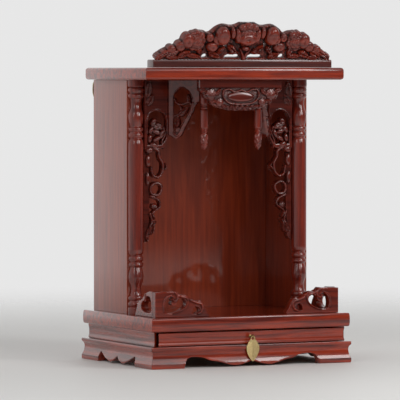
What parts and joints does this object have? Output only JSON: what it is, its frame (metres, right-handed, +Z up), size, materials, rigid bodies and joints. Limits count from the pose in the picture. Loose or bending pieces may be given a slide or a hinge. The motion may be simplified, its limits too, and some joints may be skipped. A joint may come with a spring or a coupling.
{
  "type": "household altar cabinet",
  "caption": "Lacquered wooden altar cabinet: a moulded base with a shallow drawer, an open niche between turned columns, pierced carved brackets and a leaning peony crest.",
  "frame": {"origin": "on the floor, at the middle of the bounding box", "axes": "+X to the viewer's right along the front, -Y out of the open front, +Z up"},
  "size_m": [0.4136, 0.3184, 0.6375],
  "materials": {
    "lacquer": "glossy red-brown lacquer",
    "panel": "satin red-brown lacquer over vertical grain",
    "carving": "glossy dark red lacquer on carving",
    "drawer_wood": "plain unlacquered wood",
    "brass": "pale pressed brass"
  },
  "bodies": {
    "cabinet": {"plinth_front": "lacquer", "plinth_back": "lacquer", "plinth_left": "lacquer", "plinth_right": "lacquer", "waist_left": "lacquer", "waist_right": "lacquer", "waist_back": "lacquer", "drawer_runner": "drawer_wood", "deck_board": "lacquer", "top_board": "lacquer", "side_panel_left": "panel", "side_panel_right": "panel", "back_panel": "panel", "column_left": "lacquer", "column_right": "lacquer", "bracket_left": "carving", "bracket_right": "carving", "wing_left": "carving", "wing_right": "carving", "pendant_left": "lacquer", "pendant_right": "lacquer", "header": "carving", "rail_front_left": "carving", "rail_front_right": "carving", "rail_side_left": "carving", "rail_side_right": "carving", "crest_strip": "lacquer", "crest": "carving", "hanger_left": "brass", "hanger_right": "brass"},
    "drawer": {"drawer_front": "lacquer", "drawer_side_left": "drawer_wood", "drawer_side_right": "drawer_wood", "drawer_back": "drawer_wood", "drawer_bottom": "drawer_wood", "pull_eye": "brass"},
    "pull": {"leaf_pull": "brass"}
  },
  "joints": [
    {"name": "drawer_slide", "type": "slide", "parent": "cabinet", "child": "drawer", "axis": [0, -1, 0], "range_m": [0, 0.18]},
    {"name": "leaf_swing", "type": "hinge", "parent": "drawer", "child": "pull", "pos_m": [0, -0.1552, 0.0548], "axis": [-1, 0, 0], "range_deg": [0, 78]}
  ]
}
